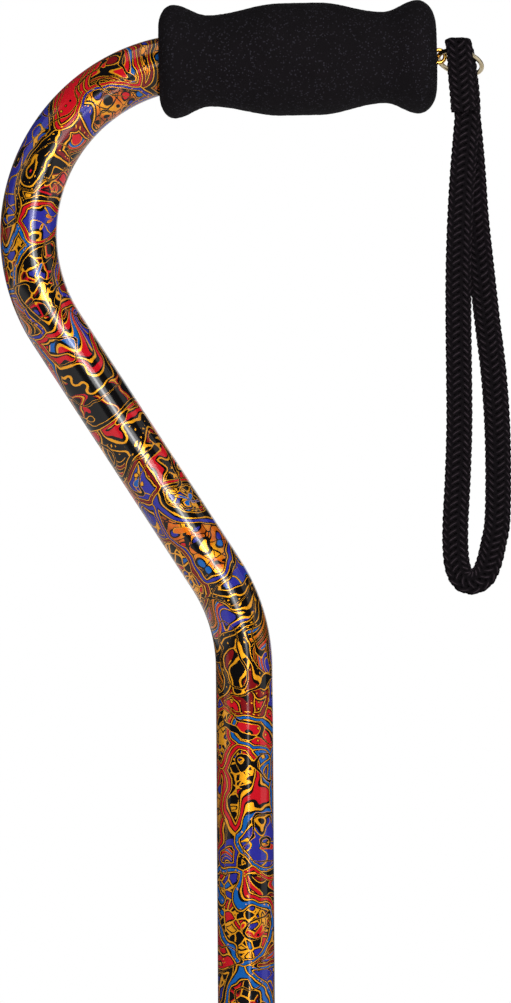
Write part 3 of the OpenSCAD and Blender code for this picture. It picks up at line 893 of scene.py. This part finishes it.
def leaf_spring():
    """A flat strip bent to a hairpin, divided finely along its length."""
    middle = (SPRING_FRONT + SPRING_REAR) / 2
    radius = (SPRING_REAR - SPRING_FRONT - SPRING_T) / 2
    stations = []
    for z in np.linspace(SPRING_FRONT_LEN, 0, 40, endpoint=False):
        stations.append((middle - radius, z, 1, 0))
    for a in np.linspace(0, math.pi, 32, endpoint=False):
        stations.append((middle - radius * math.cos(a), -radius * math.sin(a), math.cos(a), math.sin(a)))
    for z in np.linspace(0, SPRING_REAR_LEN, 34):
        stations.append((middle + radius, z, -1, 0))
    half_w, half_t = SPRING_W / 2, SPRING_T / 2
    section = []
    for sx, sn in ((1, 1), (-1, 1), (-1, -1), (1, -1)):
        corner = [(half_w - SPRING_ROUNDING, half_t), (half_w, half_t - SPRING_ROUNDING)]
        if sx * sn > 0:
            corner.reverse()
        section += [(sx * x, sn * n) for x, n in corner]
    verts = []
    for y, z, ny, nz in stations:
        for x, n in section:
            verts.append((x, SHAFT_Y + y + ny * n, SPRING_BEND_Z + z + nz * n))
    sides = len(section)
    faces = [f[::-1] for f in grid_faces(len(stations), sides)]
    faces += [tuple(range(sides)), tuple(range(len(verts) - sides, len(verts)))[::-1]]
    obj = new_object("leaf_spring", verts, faces)
    obj.data.set_sharp_from_angle(angle=math.radians(30))
    return obj


# ---------------------------------------------------------------- build

materials = {
    "handle_tube": batik(),
    "foam": foam(),
    "yarn": braid_yarn(),
    "core": painted_shade_core(),
    "brass": brass(),
    "pale_brass": pale_brass(),
    "leg": powder_coat("leg_coat", srgb(20, 20, 22)),
    "hub": powder_coat("hub_coat", srgb(24, 24, 26), 600.0),
    "nut": moulded("black_plastic", srgb(20, 20, 21), 0.42),
    "collet": moulded("white_plastic", srgb(214, 212, 204), 0.4, lift=0.95),
    "plug": moulded("grey_plastic", srgb(60, 60, 62), 0.5),
    "tip": rubber(),
    "tube": anodised(),
    "steel": plated("zinc_steel", srgb(196, 198, 200), 0.24),
    "spring": plated("spring_steel", srgb(120, 130, 150), 0.3),
}

CAD_MATERIALS = {
    "eye_screw": "brass", "strap_ring": "pale_brass", "grip_end_plug": "plug",
    "threaded_ferrule": "nut", "collet_ring": "collet", "lock_nut": "nut",
    "lower_tube": "tube", "snap_button": "steel",
    "hub_socket": "hub", "hub_clamp_plate": "hub", "hub_bolts": "steel", "hub_nuts": "steel",
    "stem_bolt": "steel", "stem_nut": "steel", "leg_front": "leg", "leg_rear": "leg",
    "tip_front_inner": "tip", "tip_front_outer": "tip", "tip_rear_inner": "tip", "tip_rear_outer": "tip",
    "tip_washers": "steel",
}
for node, material in CAD_MATERIALS.items():
    paint(bpy.data.objects[node], materials[material])

skin = paint(tube_skin(), materials["handle_tube"])
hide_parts("handle_tube")
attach(skin, "handle")

grip = paint(foam_grip(), materials["foam"])
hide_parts("foam_grip")
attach(grip, "handle")

route = smooth_route()
strap = paint(braid(route), materials["yarn"])
# the dark core is painted shade between the yarns
core = paint(strap_shade_core(route), materials["core"])
for piece in (strap, core):
    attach(piece, "strap")
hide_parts("wrist_strap")

spring = paint(leaf_spring(), materials["spring"])
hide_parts("snap_spring")
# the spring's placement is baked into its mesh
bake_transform(spring)


# ---------------------------------------------------------------- studio

FLOOR_REACH = 4.0
FLOOR_SIDES = 96
BELOW_SOLES = -0.2 * MM
SURROUND_LIGHT = 0.07

# Area lights: name, place, height that they aim at, shape, size and radiance
AIM_Z = 0.70
LIGHTS = [
    ("key", (0.30, -1.30, 1.04), AIM_Z, "ELLIPSE", (0.76, 0.86), 6.2),
    ("core", (0.29, -1.27, 0.98), AIM_Z, "ELLIPSE", (0.17, 0.50), 17.0),
    ("strip", (0.33, -1.32, 0.52), 0.52, "RECTANGLE", (0.13, 0.72), 5.0),
    ("left", (-1.3, -0.3, 1.1), AIM_Z, "RECTANGLE", (0.8, 1.4), 0.8),
    ("right", (1.3, -0.2, 1.0), AIM_Z, "RECTANGLE", (0.8, 1.4), 0.8),
    ("back", (0.4, 1.8, 1.2), AIM_Z, "RECTANGLE", (1.2, 1.4), 1.2),
    ("top", (0, -0.2, 2.2), AIM_Z, "RECTANGLE", (1.2, 1.2), 1.5),
]


def surround():
    """A white world to look at, and a dimmer one that lights the object."""
    world = bpy.data.worlds.new("studio")
    bpy.context.scene.world = world
    world.use_nodes = True
    tree = world.node_tree
    dim = tree.nodes["Background"]
    dim.inputs[0].default_value = (0.92, 0.95, 1.0, 1)
    dim.inputs[1].default_value = SURROUND_LIGHT
    white = tree.nodes.new("ShaderNodeBackground")
    white.inputs[0].default_value = (1, 1, 1, 1)
    mix = tree.nodes.new("ShaderNodeMixShader")
    tree.links.new(tree.nodes.new("ShaderNodeLightPath").outputs["Is Camera Ray"], mix.inputs[0])
    tree.links.new(dim.outputs[0], mix.inputs[1])
    tree.links.new(white.outputs[0], mix.inputs[2])
    tree.links.new(mix.outputs[0], tree.nodes["World Output"].inputs[0])


def floor():
    """A pale disc that glows a little, and more towards its rim, so that it fades into the surround."""
    turns = np.linspace(0, 2 * math.pi, FLOOR_SIDES, endpoint=False)
    rim = [(FLOOR_REACH * math.cos(a), FLOOR_REACH * math.sin(a), BELOW_SOLES) for a in turns]
    disc = new_object("floor", rim, [tuple(range(FLOOR_SIDES))])
    g = Graph("pale_floor")
    outwards = g.math("DIVIDE", g.vector("LENGTH", g.coords(), out=1), FLOOR_REACH)
    glow = g.ramp(outwards, [(0.10, (0.52,) * 3), (0.85, (0.97,) * 3)])
    g.set(Base_Color=(0.24, 0.24, 0.24, 1), Roughness=0.85)
    g.set(Emission_Color=(1, 1, 1, 1), Emission_Strength=glow)
    paint(disc, g.material)


def softbox(name, place, aim_z, shape, size, radiance):
    """An area light that the camera doesn't see, aimed at the shaft's axis."""
    light = bpy.data.lights.new(name, "AREA")
    light.shape = shape
    light.size, light.size_y = size
    area = size[0] * size[1] * (math.pi / 4 if shape == "ELLIPSE" else 1)
    light.energy = radiance * area * math.pi
    aim = Vector((0, SHAFT_Y, aim_z)) - Vector(place)
    obj = bpy.data.objects.new(name, light)
    obj.location = place
    obj.rotation_euler = aim.to_track_quat("-Z", "Y").to_euler()
    obj.visible_camera = False
    bpy.context.scene.collection.objects.link(obj)


# Camera: straight on from the user's side, with a long lens
VIEW_HEIGHT = 390.2 * MM
VIEW_CENTRE = (4.8 * MM, 665.5 * MM)
VIEW_DISTANCE = 2.4
VIEW_ROLL = math.radians(-0.37)
SENSOR_MM = 36


def camera():
    lens = bpy.data.cameras.new("camera")
    lens.sensor_fit = "VERTICAL"
    lens.sensor_height = SENSOR_MM
    lens.lens = SENSOR_MM * VIEW_DISTANCE / VIEW_HEIGHT
    obj = bpy.data.objects.new("camera", lens)
    obj.matrix_world = (
        Matrix.Translation((VIEW_CENTRE[0], SHAFT_Y - VIEW_DISTANCE, VIEW_CENTRE[1]))
        @ Matrix.Rotation(math.pi / 2, 4, "X")
        @ Matrix.Rotation(VIEW_ROLL, 4, "Z")
    )
    bpy.context.scene.collection.objects.link(obj)
    bpy.context.scene.camera = obj
    bpy.context.scene.view_settings.view_transform = "Standard"


surround()
floor()
for row in LIGHTS:
    softbox(*row)
camera()
